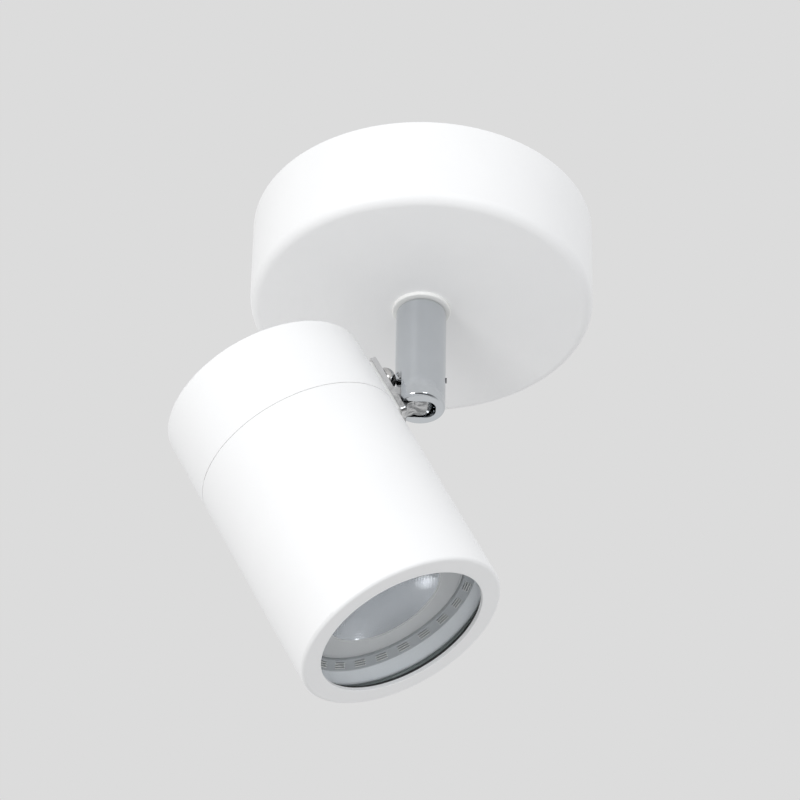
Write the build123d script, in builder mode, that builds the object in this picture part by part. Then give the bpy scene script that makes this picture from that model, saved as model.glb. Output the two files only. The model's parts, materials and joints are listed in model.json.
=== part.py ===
from build123d import *

import math
import os

# Surface mounted ceiling spotlight: a shallow round canopy on the ceiling, a chrome stem that swivels
# in it, and a cylindrical lamp head that tilts on a pivot in the stem's slotted end.
# Millimetres. The ceiling is the plane z = 0, the canopy's axis is Z and everything hangs below it.

# ---------------------------------------------------------------- driving dimensions
# canopy and its fixing to the ceiling
canopy_radius = 50.0
canopy_height = 29.0
canopy_wall = 1.2
canopy_edge_radius = 3.0
rim_edge_radius = 0.3
bracket_thickness = 1.5
bracket_width = 20.0
bracket_end_gap = 2.8
bracket_corner_radius = 3.0
bracket_ear_drop = 14.0
fixing_spacing = 60.0
fixing_slot_length = 12.0
fixing_slot_width = 4.5
cable_hole_radius = 8.0
terminal_wing_reach = 34.0
terminal_wing_width = 30.0
earth_wing_reach = 24.0
earth_wing_width = 14.0
canopy_screw_depth = 8.0
canopy_screw_radius = 2.0
canopy_screw_head_radius = 3.8
canopy_screw_head_height = 2.0
keeper_width = 9.0
keeper_thickness = 1.2
keeper_plate_width = 14.0
keeper_plate_height = 8.0
keeper_reach = 5.6
keeper_slot_margin = 0.6

# wiring in the canopy
block_centre_x = 25.0
block_width = 14.0
block_length = 26.0
block_height = 12.0
block_corner_radius = 1.5
pole_pitch = 8.0
pole_count = 3
pole_depth = 5.0
insert_radius = 2.3
insert_bore = 1.5
terminal_screw_radius = 1.35
terminal_screw_offset = 3.5
terminal_screw_recess = 0.5
block_screw_radius = 1.5
block_screw_head_radius = 2.6
block_screw_head_height = 1.6
earth_screw_radius = 2.0
earth_screw_head_radius = 3.8
earth_screw_head_height = 2.4
earth_washer_radius = 4.8
earth_washer_thickness = 0.8
earth_screw_x = -17.0

# swivel in the canopy's floor
collar_radius = 8.5
collar_thickness = 1.0
collar_edge_radius = 0.35
swivel_play = 0.1
nipple_radius = 5.0
nipple_bore = 3.9
nipple_thread_in_stem = 8.0
nipple_tail = 2.0
stop_plate_radius = 12.0
stop_plate_thickness = 1.0
stop_tab_width = 3.0
stop_tab_depth = 1.8
stop_tab_height = 3.0
stop_ring_radius = 8.2
stop_finger_length = 11.8
stop_finger_thickness = 1.0
spring_washer_radius = 8.5
spring_washer_thickness = 0.8
lock_nut_flats = 14.0
lock_nut_height = 3.0

# stem
stem_radius = 7.3
stem_length = 35.4
stem_edge_radius = 1.0
stem_bore = 3.6
slot_width = 7.5
slot_depth = 11.7
slot_reach = 4.6
slot_corner_radius = 3.0
fork_face = 5.6
pocket_radius = 4.5
pivot_height = 4.3
pivot_radius = 1.5
pivot_head_radius = 2.6
pivot_head_height = 1.6
pivot_head_sink = 2.1
pivot_blind_wall = 1.3
bush_length = 6.0
bush_overhang = 1.5
lead_radius = 2.3
lead_bend_radius = 9.0
grub_height = 10.8
grub_radius = 0.8
grub_proud = 0.3
grub_socket_flats = 0.8
grub_socket_depth = 0.9

# knuckle and strap that carry the head
rest_tilt = 26.8
pivot_standoff = 9.7
tongue_thickness = 6.6
tongue_edge_radius = 0.5
neck_above = 3.8
neck_below = 2.65
neck_straight = 4.9
neck_flare = 1.0
neck_flare_radius = 2.8
strap_distance = 6.7
strap_thickness = 1.5
strap_width = 8.0
strap_corner_radius = 1.5
strap_above_pivot = 16.6
strap_below_pivot = 4.8
strap_to_seam = 0.3
strap_relief = 0.3
strap_screw_above_pivot = 10.0
strap_screw_radius = 2.0
strap_screw_head_radius = 3.4
strap_screw_head_height = 2.9
strap_screw_crown = 2.6
strap_screw_length = 8.3
strap_washer_radius = 2.9
strap_washer_thickness = 0.4
strap_screw_slot_width = 0.9
strap_screw_slot_depth = 0.8
wireway_radius = 1.6
wireway_depth = 2.2
wireway_entry_radius = 1.4
saddle_margin = 0.8
nut_plate_length = 12.0
nut_plate_width = 9.0
nut_plate_thickness = 2.5

# head
lamp_clearance = 3.5
holder_standoff = 14.0
head_behind_pivot = 19.2
cap_edge_radius = 0.8
seam_gap = 0.3
head_wall = 2.0
cap_end_wall = 2.5
spigot_length = 7.5
spigot_root = 1.0
spigot_wall = 1.8
seal_wire_radius = 0.9
seal_position = 4.2
grommet_radius = 2.6
grommet_bore = 1.4
grommet_flange_radius = 3.4
grommet_flange_thickness = 0.8
head_lead_radius = 1.3
head_lead_bends = (5.0, 5.0, 4.2)

# front of the sleeve
lip_overlap = 0.35
lip_thickness = 1.2
front_edge_radius = 1.0
opening_edge_radius = 0.3
gasket_thickness = 1.0
gasket_overlap = 0.5
glass_thickness = 2.5
baffle_wall = 1.0
baffle_window_count = 24
baffle_window_width = 3.2
baffle_window_height = 1.4
baffle_slope = 2.0
snap_wire_radius = 0.5

# lampholder
holder_radius = 14.0
holder_length = 17.2
holder_face = 3.2
holder_cavity_radius = 8.3
holder_cavity_depth = 6.0
holder_screw_circle = 10.5
holder_screw_radius = 1.5
holder_screw_head_radius = 2.7
holder_screw_head_height = 1.8
boss_radius = 3.0
contact_thickness = 0.6
contact_width = 5.0

# lamp
lamp_radius = 25.0
lamp_length = 47.0
lamp_depth = 12.0
lamp_base_radius = 13.0
lamp_base_length = 9.0
lamp_shoulder = 36.0
bezel_height = 3.0
bezel_edge_radius = 1.4
bezel_inner_radius = 17.4
bezel_bevel = 0.5
lens_thickness = 1.6
lens_seat_width = 1.0
dish_sink = 0.3
dish_depth = 4.5
lamp_cavity_depth = 6.0
board_thickness = 1.2
chip_size = 6.0
chip_height = 0.8
fin_groove_count = 18
fin_groove_width = 2.0
fin_groove_depth = 1.8
fin_groove_margin = 3.0
pin_spacing = 10.0
pin_radius = 1.5
pin_head_radius = 2.5
pin_head_height = 2.4
pin_length = 7.0
twist_angle = 30.0

# clearances
fit_clearance = 0.05
running_clearance = 0.08
body_gap = 0.3

# ---------------------------------------------------------------- derived levels and frames
head_bore = lamp_radius + lamp_clearance
head_radius = head_bore + head_wall
head_offset = head_radius + pivot_standoff
cap_length = head_behind_pivot + strap_below_pivot + strap_to_seam
opening_radius = lamp_radius - lip_overlap
holder_back = holder_standoff
holder_front = holder_back + holder_length
lamp_back = holder_front + body_gap
lamp_front = lamp_back + lamp_length
head_length = lamp_front + lamp_depth
canopy_under = -canopy_height
canopy_floor = canopy_under + canopy_wall
canopy_bore = canopy_radius - canopy_wall
bracket_under = -bracket_thickness
collar_under = canopy_under - collar_thickness
stem_top = collar_under - swivel_play
stem_end = stem_top - stem_length
swivel_hole = nipple_radius + running_clearance
slot_top = stem_end + slot_depth
fork_spring = slot_top - slot_width / 2
pivot_z = stem_end + pivot_height

tilt = math.radians(rest_tilt)
pivot = Vector(0, 0, pivot_z)
pivot_axis = Axis(pivot, (0, 1, 0))
front_dir = Vector(math.sin(tilt), 0, -math.cos(tilt))      # along the head, towards its opening
stem_dir = Vector(math.cos(tilt), 0, math.sin(tilt))        # across the head, towards the pivot
head_rear = pivot - stem_dir * head_offset - front_dir * head_behind_pivot
head_axis = Axis(head_rear, front_dir)
# looking along +Y: x is the distance from the head's axis, y the distance from its rear end
head_profile = Plane(origin=head_rear, x_dir=stem_dir, z_dir=(0, 1, 0))
# looking along +Y from the pivot, with the same directions
pivot_profile = Plane(origin=pivot, x_dir=stem_dir, z_dir=(0, 1, 0))


def head_section(distance):
    """Plane across the head, this far from its rear end, facing the opening."""
    return Plane(origin=head_rear + front_dir * distance, x_dir=stem_dir, z_dir=front_dir)


def strap_section(distance):
    """Plane along the head, this far from the pivot, facing the stem: x runs to the front."""
    return Plane(origin=pivot - stem_dir * distance, x_dir=front_dir, z_dir=stem_dir)


# ---------------------------------------------------------------- canopy and ceiling bracket
with BuildPart() as canopy_shell:
    with BuildSketch(Plane.XY.offset(canopy_under)):
        Circle(canopy_radius)
    extrude(amount=canopy_height)
    fillet(canopy_shell.edges().sort_by(Axis.Z)[0], radius=canopy_edge_radius)
    offset(amount=-canopy_wall, openings=canopy_shell.faces().sort_by(Axis.Z)[-1])
    fillet(canopy_shell.edges().group_by(Axis.Z)[-1], radius=rim_edge_radius)
    with BuildSketch(Plane.XY.offset(canopy_under)):
        Circle(swivel_hole)
    extrude(amount=canopy_wall, mode=Mode.SUBTRACT)
    with BuildSketch(Plane.XZ.offset(-canopy_bore + canopy_wall)):
        with Locations((0, -canopy_screw_depth)):
            Circle(canopy_screw_radius + running_clearance)
    extrude(amount=-2 * canopy_wall, mode=Mode.SUBTRACT)

bracket_end = canopy_bore - bracket_end_gap
with BuildPart() as ceiling_bracket:
    with BuildSketch(Plane.XY.offset(bracket_under)) as bracket_outline:
        Rectangle(bracket_width, 2 * bracket_end)
        with Locations((terminal_wing_reach / 2, 0)):
            Rectangle(terminal_wing_reach, terminal_wing_width)
        with Locations((-earth_wing_reach / 2, 0)):
            Rectangle(earth_wing_reach, earth_wing_width)
        fillet(bracket_outline.vertices().sort_by(Axis.Y)[2:-2], radius=bracket_corner_radius)
        Circle(cable_hole_radius, mode=Mode.SUBTRACT)
        with Locations((0, fixing_spacing / 2), (0, -fixing_spacing / 2)):
            SlotOverall(fixing_slot_length, fixing_slot_width, rotation=90, mode=Mode.SUBTRACT)
        with Locations((block_centre_x, pole_pitch / 2)):
            Circle(block_screw_radius + fit_clearance, mode=Mode.SUBTRACT)
        with Locations((earth_screw_x, 0)):
            Circle(earth_screw_radius + fit_clearance, mode=Mode.SUBTRACT)
    extrude(amount=bracket_thickness)
    for side in (1, -1):
        with BuildSketch(Plane.XY.offset(-bracket_ear_drop)):
            with Locations((0, side * (bracket_end - bracket_thickness / 2))):
                Rectangle(bracket_width, bracket_thickness)
        extrude(amount=bracket_ear_drop)
    fillet(
        ceiling_bracket.edges().filter_by(Axis.Y).group_by(Axis.Z)[0].filter_by(
            lambda edge: abs(edge.center().X) > bracket_width / 2 - bracket_thickness
        ),
        radius=bracket_corner_radius,
    )
    # the tapped hole behind and the keeper's slot in front
    with BuildSketch(Plane.XZ.offset(-bracket_end)):
        with Locations((0, -canopy_screw_depth)):
            Circle(canopy_screw_radius + fit_clearance)
    extrude(amount=bracket_thickness, mode=Mode.SUBTRACT)
    with BuildSketch(Plane.XZ.offset(bracket_end)):
        with Locations((0, -canopy_screw_depth)):
            Rectangle(keeper_width + 2 * keeper_slot_margin, keeper_thickness + 2 * keeper_slot_margin)
    extrude(amount=-bracket_thickness, mode=Mode.SUBTRACT)

with BuildPart() as canopy_keeper:
    with BuildSketch(Plane.XY.offset(-canopy_screw_depth - keeper_plate_height / 2)):
        Circle(canopy_bore)
        Circle(canopy_bore - keeper_thickness, mode=Mode.SUBTRACT)
        with Locations((0, -canopy_bore)):
            Rectangle(keeper_plate_width, canopy_radius / 2, mode=Mode.INTERSECT)
    extrude(amount=keeper_plate_height)
    with BuildSketch(Plane.XY.offset(-canopy_screw_depth - keeper_thickness / 2)):
        with Locations((0, -canopy_bore + keeper_thickness / 2 + keeper_reach / 2)):
            RectangleRounded(keeper_width, keeper_reach, keeper_thickness)
    extrude(amount=keeper_thickness)

with BuildPart() as canopy_screw:
    with BuildSketch(Plane.YZ):
        with BuildLine():
            tail_y = bracket_end - 2 * bracket_thickness
            crown_y = canopy_radius + canopy_screw_head_height
            Polyline(
                (crown_y, -canopy_screw_depth),
                (tail_y, -canopy_screw_depth),
                (tail_y, -canopy_screw_depth + canopy_screw_radius),
                (canopy_radius, -canopy_screw_depth + canopy_screw_radius),
                (canopy_radius, -canopy_screw_depth + canopy_screw_head_radius),
            )
            RadiusArc(
                (canopy_radius, -canopy_screw_depth + canopy_screw_head_radius),
                (crown_y, -canopy_screw_depth),
                (canopy_screw_head_radius**2 + canopy_screw_head_height**2) / (2 * canopy_screw_head_height),
            )
        make_face()
    revolve(axis=Axis((0, 0, -canopy_screw_depth), (0, 1, 0)))
    with BuildSketch(Plane.XZ.offset(-crown_y)):
        with Locations((0, -canopy_screw_depth)):
            Rectangle(2 * canopy_screw_radius, grub_socket_flats / 2)
            Rectangle(grub_socket_flats / 2, 2 * canopy_screw_radius)
    extrude(amount=grub_socket_depth, mode=Mode.SUBTRACT)

# ---------------------------------------------------------------- terminal block and earth
pole_ys = [pole_pitch * (index - (pole_count - 1) / 2) for index in range(pole_count)]
pole_z = bracket_under - pole_depth
block_under = bracket_under - block_height
terminal_spots = [
    (block_centre_x + side * terminal_screw_offset, pole_y) for side in (1, -1) for pole_y in pole_ys
]

with BuildPart() as terminal_block:
    with BuildSketch(Plane.XY.offset(block_under)):
        with Locations((block_centre_x, 0)):
            RectangleRounded(block_width, block_length, block_corner_radius)
    extrude(amount=block_height)
    with BuildSketch(Plane.YZ.offset(block_centre_x)):
        with Locations(*[(pole_y, pole_z) for pole_y in pole_ys]):
            Circle(insert_radius + fit_clearance)
    extrude(amount=block_width, both=True, mode=Mode.SUBTRACT)
    with BuildSketch(Plane.XY.offset(block_under)):
        with Locations(*terminal_spots):
            Circle(terminal_screw_radius + fit_clearance)
    extrude(amount=block_height - pole_depth, mode=Mode.SUBTRACT)
    with BuildSketch(Plane.XY.offset(block_under)):
        with Locations((block_centre_x, pole_pitch / 2)):
            Circle(block_screw_radius + fit_clearance)
    extrude(amount=block_height, mode=Mode.SUBTRACT)
    with BuildSketch(Plane.XY.offset(block_under)):
        with Locations((block_centre_x, -pole_pitch / 2)):
            Rectangle(block_width, terminal_screw_radius)
    extrude(amount=block_height / 4, mode=Mode.SUBTRACT)

with BuildPart() as terminal_inserts:
    with BuildSketch(Plane.YZ.offset(block_centre_x)):
        with Locations(*[(pole_y, pole_z) for pole_y in pole_ys]):
            Circle(insert_radius)
            Circle(insert_bore, mode=Mode.SUBTRACT)
    extrude(amount=block_width / 2 - terminal_screw_recess, both=True)
    with BuildSketch(Plane.XY.offset(pole_z - insert_radius)):
        with Locations(*terminal_spots):
            Circle(terminal_screw_radius + fit_clearance)
    extrude(amount=insert_radius, mode=Mode.SUBTRACT)

with BuildPart() as terminal_screws:
    with BuildSketch(Plane.XY.offset(block_under + terminal_screw_recess)):
        with Locations(*terminal_spots):
            Circle(terminal_screw_radius)
    extrude(amount=block_height - pole_depth - terminal_screw_recess)
    with BuildSketch(Plane.XY.offset(block_under + terminal_screw_recess)):
        with Locations(*terminal_spots):
            Rectangle(2 * terminal_screw_radius, terminal_screw_radius / 3)
    extrude(amount=terminal_screw_recess, mode=Mode.SUBTRACT)

with BuildPart() as block_screw:
    with BuildSketch(Plane.XY.offset(block_under - block_screw_head_height)):
        with Locations((block_centre_x, pole_pitch / 2)):
            Circle(block_screw_head_radius)
    extrude(amount=block_screw_head_height)
    with BuildSketch(Plane.XY.offset(block_under)):
        with Locations((block_centre_x, pole_pitch / 2)):
            Circle(block_screw_radius)
    extrude(amount=block_height + bracket_thickness - swivel_play)
    fillet(block_screw.edges().group_by(Axis.Z)[0], radius=block_screw_head_height / 2)

with BuildPart() as earth_washer:
    with BuildSketch(Plane.XY.offset(bracket_under - earth_washer_thickness)):
        with Locations((earth_screw_x, 0)):
            Circle(earth_washer_radius)
            Circle(earth_screw_radius + fit_clearance, mode=Mode.SUBTRACT)
    extrude(amount=earth_washer_thickness)

with BuildPart() as earth_screw:
    earth_seat = bracket_under - earth_washer_thickness
    with BuildSketch(Plane.XY.offset(earth_seat - earth_screw_head_height)):
        with Locations((earth_screw_x, 0)):
            Circle(earth_screw_head_radius)
    extrude(amount=earth_screw_head_height)
    fillet(earth_screw.edges().group_by(Axis.Z)[0], radius=earth_screw_head_height / 2)
    with BuildSketch(Plane.XY.offset(earth_seat)):
        with Locations((earth_screw_x, 0)):
            Circle(earth_screw_radius)
    extrude(amount=earth_washer_thickness + bracket_thickness - swivel_play)

# ---------------------------------------------------------------- swivel through the canopy's floor
stop_plate_top = canopy_floor + stop_plate_thickness
finger_under = stop_plate_top + swivel_play
finger_top = finger_under + stop_finger_thickness
spring_top = finger_top + spring_washer_thickness
nut_top = spring_top + lock_nut_height
nipple_top = nut_top + nipple_tail
nipple_end = stem_top - nipple_thread_in_stem

with BuildPart() as collar_washer:
    with BuildSketch(Plane.XY.offset(collar_under)):
        Circle(collar_radius)
        Circle(swivel_hole, mode=Mode.SUBTRACT)
    extrude(amount=collar_thickness)
    fillet(
        collar_washer.edges().group_by(Axis.Z)[0].sort_by(SortBy.LENGTH)[-1], radius=collar_edge_radius
    )

with BuildPart() as stop_plate:
    with BuildSketch(Plane.XY.offset(canopy_floor)):
        Circle(stop_plate_radius)
        Circle(swivel_hole, mode=Mode.SUBTRACT)
    extrude(amount=stop_plate_thickness)
    with BuildSketch(Plane.XY.offset(stop_plate_top)):
        with Locations((stop_plate_radius - stop_tab_depth / 2, 0)):
            Rectangle(stop_tab_depth, stop_tab_width)
        Circle(stop_plate_radius, mode=Mode.INTERSECT)
    extrude(amount=stop_tab_height)

with BuildPart() as stop_finger:
    with BuildSketch(Plane.XY.offset(finger_under)):
        Circle(stop_ring_radius)
        with Locations((-stop_finger_length / 2, 0)):
            Rectangle(stop_finger_length, stop_tab_width)
        Circle(nipple_radius + fit_clearance, mode=Mode.SUBTRACT)
    extrude(amount=stop_finger_thickness)

with BuildPart() as spring_washer:
    with BuildSketch(Plane.XY.offset(finger_top)):
        Circle(spring_washer_radius)
        Circle(nipple_radius + fit_clearance, mode=Mode.SUBTRACT)
    extrude(amount=spring_washer_thickness)

with BuildPart() as lock_nut:
    with BuildSketch(Plane.XY.offset(spring_top)):
        RegularPolygon(lock_nut_flats / 2, 6, major_radius=False)
        Circle(nipple_radius + fit_clearance, mode=Mode.SUBTRACT)
    extrude(amount=lock_nut_height)

with BuildPart() as threaded_nipple:
    with BuildSketch(Plane.XY.offset(nipple_end)):
        Circle(nipple_radius)
        Circle(nipple_bore, mode=Mode.SUBTRACT)
    extrude(amount=nipple_top - nipple_end)
    chamfer(
        threaded_nipple.edges().filter_by(GeomType.CIRCLE).filter_by(
            lambda edge: edge.radius > nipple_bore + fit_clearance
        ),
        length=(nipple_radius - nipple_bore) / 2,
    )

# ---------------------------------------------------------------- stem
# the fork's slot: square-sided with an arched roof, open towards the head and at the stem's end
with BuildPart() as fork_slot:
    with BuildSketch(Plane.XY.offset(stem_end)) as slot_plan:
        with Locations((slot_reach, 0)):
            Rectangle(slot_reach + 2 * stem_radius, slot_width, align=(Align.MAX, Align.CENTER))
        fillet(slot_plan.vertices().group_by(Axis.X)[-1], radius=slot_corner_radius)
    extrude(amount=slot_depth)
    with BuildSketch(Plane.YZ.offset(-2 * stem_radius)):
        with Locations((0, fork_spring)):
            Rectangle(slot_width, slot_depth, align=(Align.CENTER, Align.MAX))
            Circle(slot_width / 2)
    extrude(amount=4 * stem_radius, mode=Mode.INTERSECT)

strap_sweep = strap_distance - strap_relief
with BuildPart() as stem:
    with BuildSketch(Plane.XY.offset(stem_end)):
        Circle(stem_radius)
    extrude(amount=stem_length)
    fillet(stem.edges().filter_by(GeomType.CIRCLE), radius=stem_edge_radius)
    with BuildSketch(Plane.XY.offset(stem_top)):
        Circle(stem_bore)
    extrude(amount=-(stem_length - slot_depth + slot_width / 2), mode=Mode.SUBTRACT)
    with BuildSketch(Plane.XY.offset(stem_top)):
        Circle(nipple_radius + fit_clearance)
    extrude(amount=-nipple_thread_in_stem, mode=Mode.SUBTRACT)
    add(fork_slot.part, mode=Mode.SUBTRACT)
    # pocket that the knuckle's barrel turns in, and the flat that lets the strap's screw past
    with BuildSketch(Plane.XZ):
        with Locations((0, pivot_z)):
            Circle(pocket_radius)
    extrude(amount=slot_width / 2, both=True, mode=Mode.SUBTRACT)
    with BuildSketch(Plane.XZ):
        with Locations((-fork_face, fork_spring)):
            Rectangle(2 * stem_radius, slot_depth, align=(Align.MAX, Align.MAX))
    extrude(amount=stem_radius, both=True, mode=Mode.SUBTRACT)
    # the fork's corners are rounded about the pivot, to let the strap pass
    with BuildSketch(Plane.XZ):
        with Locations((-stem_radius, pivot_z - stem_radius)):
            Rectangle(2 * stem_radius, 2 * stem_radius)
        with Locations((0, pivot_z)):
            Circle(strap_sweep, mode=Mode.SUBTRACT)
    extrude(amount=stem_radius, both=True, mode=Mode.SUBTRACT)
    # pivot hole: blind in the near fork, sunk for the screw's head in the far one
    with BuildSketch(Plane.XZ.offset(stem_radius - pivot_blind_wall)):
        with Locations((0, pivot_z)):
            Circle(pivot_radius + fit_clearance)
    extrude(amount=-2 * stem_radius, mode=Mode.SUBTRACT)
    with BuildSketch(Plane.XZ.offset(-stem_radius)):
        with Locations((0, pivot_z)):
            Circle(pivot_head_radius + fit_clearance)
    extrude(amount=pivot_head_sink, mode=Mode.SUBTRACT)
    with BuildSketch(Plane.YZ):
        with Locations((0, stem_end + grub_height)):
            Circle(grub_radius + fit_clearance)
    extrude(amount=stem_radius, mode=Mode.SUBTRACT)

with BuildPart() as pivot_screw:
    pin_tip = -stem_radius + pivot_blind_wall + fit_clearance
    pin_seat = stem_radius - pivot_head_sink
    with BuildSketch(Plane.XZ.offset(-pin_tip)):
        with Locations((0, pivot_z)):
            Circle(pivot_radius)
    extrude(amount=-(pin_seat - pin_tip))
    with BuildSketch(Plane.XZ.offset(-pin_seat)):
        with Locations((0, pivot_z)):
            Circle(pivot_head_radius)
    extrude(amount=-pivot_head_height)
    with BuildSketch(Plane.XZ.offset(-pin_seat - pivot_head_height)):
        with Locations((0, pivot_z)):
            Rectangle(2 * pivot_head_radius, pivot_radius / 2)
    extrude(amount=pivot_head_height / 2, mode=Mode.SUBTRACT)

bush_under = slot_top - bush_overhang
with BuildPart() as lead_bush:
    with BuildSketch(Plane.XY.offset(bush_under)):
        Circle(stem_bore - fit_clearance)
        Circle(lead_radius + fit_clearance, mode=Mode.SUBTRACT)
    extrude(amount=bush_length)

with BuildPart() as grub_screw:
    with BuildSketch(Plane.YZ.offset(stem_bore)):
        with Locations((0, stem_end + grub_height)):
            Circle(grub_radius)
    extrude(amount=stem_radius + grub_proud - stem_bore)
    with BuildSketch(Plane.YZ.offset(stem_radius + grub_proud)):
        with Locations((0, stem_end + grub_height)):
            RegularPolygon(grub_socket_flats / 2, 6, major_radius=False)
    extrude(amount=-grub_socket_depth, mode=Mode.SUBTRACT)

# ---------------------------------------------------------------- leads, one on each side of the swivel
stem_lead_top = nipple_top + lead_radius
with BuildPart() as stem_lead:
    with BuildSketch(Plane.XY.offset(bush_under)):
        Circle(lead_radius)
    extrude(amount=stem_lead_top - bush_under)

supply_start_x = block_centre_x - block_width / 2 - body_gap
with BuildPart() as supply_lead:
    with BuildLine() as supply_route:
        FilletPolyline(
            (supply_start_x, 0, pole_z),
            (0, 0, pole_z),
            (0, 0, stem_lead_top + body_gap),
            radius=lead_bend_radius,
        )
    with BuildSketch(Plane(origin=(supply_start_x, 0, pole_z), z_dir=(-1, 0, 0))):
        Circle(lead_radius)
    sweep()

# ---------------------------------------------------------------- knuckle and strap
# the tongue ends in a barrel about the pivot; its neck flares into the strap
barrel_radius = pocket_radius - body_gap
half_tongue = tongue_thickness / 2
strap_length = strap_above_pivot + strap_below_pivot
strap_middle = (strap_below_pivot - strap_above_pivot) / 2
strap_back = strap_distance + strap_thickness

with BuildPart() as swivel_knuckle:
    with BuildSketch(pivot_profile):
        Circle(barrel_radius)
    extrude(amount=half_tongue, both=True)
    fillet(swivel_knuckle.edges().filter_by(GeomType.CIRCLE), radius=tongue_edge_radius)
    with BuildSketch(pivot_profile):
        with BuildLine():
            for edge, side in ((neck_below, 1), (-neck_above, -1)):
                Line((0, edge), (-neck_straight, edge))
                RadiusArc(
                    (-neck_straight, edge),
                    (-strap_distance, edge + side * neck_flare),
                    side * neck_flare_radius,
                )
            Line((0, neck_below), (0, -neck_above))
            Line((-strap_distance, neck_below + neck_flare), (-strap_distance, -neck_above - neck_flare))
        make_face()
    extrude(amount=half_tongue, both=True)
    with BuildSketch(strap_section(strap_back)):
        with Locations((strap_middle, 0)):
            RectangleRounded(strap_length, strap_width, strap_corner_radius)
    extrude(amount=strap_thickness)
    with BuildSketch(strap_section(strap_back)):
        with Locations((-strap_screw_above_pivot, 0)):
            Circle(strap_screw_radius + fit_clearance)
    extrude(amount=strap_thickness, mode=Mode.SUBTRACT)
    with BuildSketch(Plane.XZ.offset(-stem_radius)):
        with Locations((0, pivot_z)):
            Circle(pivot_radius + running_clearance)
    extrude(amount=2 * stem_radius, mode=Mode.SUBTRACT)
    # wireway: in at the top of the neck, out through the strap's back
    with BuildSketch(strap_section(strap_back)):
        Circle(wireway_radius)
    extrude(amount=strap_back - wireway_depth, mode=Mode.SUBTRACT)
    with BuildSketch(Plane(origin=pivot - stem_dir * neck_straight, x_dir=stem_dir, z_dir=-front_dir)):
        Circle(wireway_entry_radius)
    extrude(amount=neck_above + neck_flare, mode=Mode.SUBTRACT)

with BuildPart() as strap_saddle:
    with BuildSketch(strap_section(strap_back)):
        with Locations((strap_middle, 0)):
            RectangleRounded(
                strap_length - 2 * saddle_margin, strap_width - saddle_margin, strap_corner_radius
            )
    extrude(amount=-(head_offset - strap_back))
    with BuildSketch(head_section(0)):
        Circle(head_radius)
    extrude(amount=head_length, mode=Mode.SUBTRACT)
    with BuildSketch(strap_section(strap_back)):
        with Locations((-strap_screw_above_pivot, 0)):
            Circle(strap_screw_radius + fit_clearance)
        Circle(wireway_radius)
    extrude(amount=-(head_offset - strap_back), mode=Mode.SUBTRACT)

screw_seat = strap_distance - strap_washer_thickness
with BuildPart() as strap_washer:
    with BuildSketch(strap_section(strap_distance)):
        with Locations((-strap_screw_above_pivot, 0)):
            Circle(strap_washer_radius)
            Circle(strap_screw_radius + fit_clearance, mode=Mode.SUBTRACT)
    extrude(amount=strap_washer_thickness)

with BuildPart() as strap_screw:
    with BuildSketch(strap_section(screw_seat)):
        with Locations((-strap_screw_above_pivot, 0)):
            Circle(strap_screw_head_radius)
    extrude(amount=strap_screw_head_height)
    crown_edges = strap_screw.edges().filter_by(GeomType.CIRCLE).sort_by(Axis(pivot, stem_dir))
    fillet(crown_edges[-1], radius=strap_screw_crown)
    with BuildSketch(strap_section(screw_seat)):
        with Locations((-strap_screw_above_pivot, 0)):
            Circle(strap_screw_radius)
    extrude(amount=-(strap_screw_length + strap_washer_thickness))
    with BuildSketch(strap_section(screw_seat - strap_screw_head_height)):
        with Locations((-strap_screw_above_pivot, 0)):
            Rectangle(strap_screw_slot_width, strap_screw_head_radius)
            Rectangle(strap_screw_head_radius, strap_screw_slot_width)
    extrude(amount=-strap_screw_slot_depth, mode=Mode.SUBTRACT)

nut_plate_face = head_offset - head_bore + nut_plate_thickness
with BuildPart() as nut_plate:
    with BuildSketch(strap_section(nut_plate_face)):
        with Locations((-strap_screw_above_pivot, 0)):
            RectangleRounded(nut_plate_length, nut_plate_width, strap_corner_radius)
    extrude(amount=nut_plate_face)
    with BuildSketch(head_section(0)):
        Circle(head_bore)
    extrude(amount=head_length, mode=Mode.INTERSECT)
    with BuildSketch(strap_section(nut_plate_face)):
        with Locations((-strap_screw_above_pivot, 0)):
            Circle(strap_screw_radius + fit_clearance)
    extrude(amount=nut_plate_face, mode=Mode.SUBTRACT)

# ---------------------------------------------------------------- rear cap
sleeve_rear = cap_length + seam_gap
spigot_outer = head_bore - body_gap
spigot_inner = spigot_outer - spigot_wall
spigot_end = cap_length + spigot_length
seal_level = cap_length + seal_position
seal_centre = head_bore - body_gap - seal_wire_radius + fit_clearance

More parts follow.
